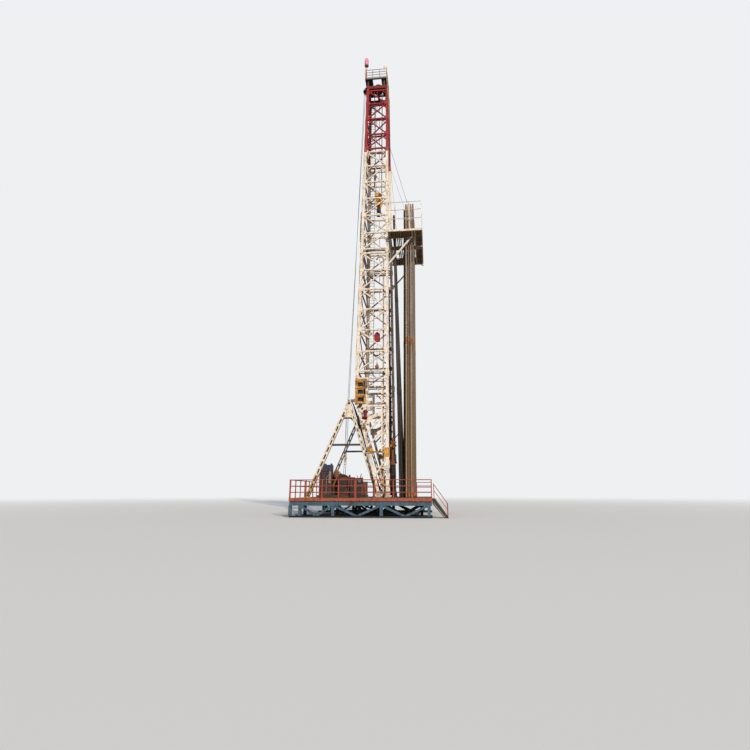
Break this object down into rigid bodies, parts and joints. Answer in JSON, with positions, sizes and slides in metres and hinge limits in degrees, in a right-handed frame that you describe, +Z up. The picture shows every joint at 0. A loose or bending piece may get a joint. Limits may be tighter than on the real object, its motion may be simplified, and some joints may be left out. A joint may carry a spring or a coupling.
{
  "type": "oil drilling rig, 1:2 scale model",
  "caption": "Land rotary drilling rig with an open-fronted lattice mast, racked drill pipe and a railed drill floor, as a half-size model",
  "frame": {"origin": "on the ground in the middle of the outline, where the mast line meets the level the skids rest on", "axes": "X points to the racked pipe (front), Y to the far side, Z up"},
  "size_m": [5.76, 6, 23.4343],
  "materials": {
    "blue_steel": "weathered blue-grey paint on rolled beams",
    "red_paint": "red-orange paint, faded",
    "deck_plate": "dark worn floor plate and grating",
    "table_steel": "worn cast steel",
    "stair_steel": "light grey galvanised steel",
    "cream_paint": "warm white paint with grime and rust runs",
    "yellow_paint": "yellow-orange machine paint",
    "sheave_iron": "dark greased cast sheaves",
    "pipe_steel": "rust-brown drill pipe",
    "collar_steel": "blackened heavy collars",
    "wire_rope": "greased wire rope",
    "machine_paint": "dark machinery paint"
  },
  "bodies": {
    "rig": {"floor_frames": "blue_steel", "floor_beams": "blue_steel", "floor_band": "red_paint", "drill_floor": "deck_plate", "rotary_table": "table_steel", "railing_near": "red_paint", "railing_far": "red_paint", "railing_ends": "red_paint", "stair": "stair_steel", "stair_handrails": "red_paint", "mast_shoes": "deck_plate", "mast_foot_near": "cream_paint", "mast_foot_far": "cream_paint", "mast_lower_near": "cream_paint", "mast_lower_far": "cream_paint", "mast_lower_back": "cream_paint", "mast_upper_near": "cream_paint", "mast_upper_far": "cream_paint", "mast_upper_back": "cream_paint", "mast_top": "red_paint", "foot_ties": "yellow_paint", "support_frame_near": "cream_paint", "support_frame_far": "cream_paint", "frame_ties": "cream_paint", "support_column_near": "yellow_paint", "support_column_far": "cream_paint", "crown_frame": "red_paint", "crown_platform": "deck_plate", "crown_railing": "red_paint", "beacon": "red_paint", "racking_board": "cream_paint", "board_walkways": "deck_plate", "racking_fingers": "deck_plate", "board_fence": "cream_paint", "drill_pipe": "pipe_steel", "drill_collars": "collar_steel", "drilling_lines": "wire_rope", "fast_line": "wire_rope", "drawworks": "machine_paint", "swivel": "machine_paint", "standpipe": "cream_paint"},
    "block": {"travelling_block": "yellow_paint", "hook": "yellow_paint"},
    "crown_cluster": {"crown_sheaves": "sheave_iron"},
    "fast_line_sheave": {"fast_sheave": "sheave_iron"}
  },
  "joints": [
    {"name": "block_hoist", "type": "slide", "parent": "rig", "child": "block", "axis": [0, 0, 1], "range_m": [-11.8, 4.8], "deforming": ["drilling_lines"]},
    {"name": "crown_turn", "type": "hinge", "parent": "rig", "child": "crown_cluster", "pos_m": [0.146, 0, 21.835], "axis": [0, 1, 0], "continuous": true},
    {"name": "fast_sheave_turn", "type": "hinge", "parent": "rig", "child": "fast_line_sheave", "pos_m": [-0.46, 0, 21.77], "axis": [0, 1, 0], "continuous": true}
  ]
}
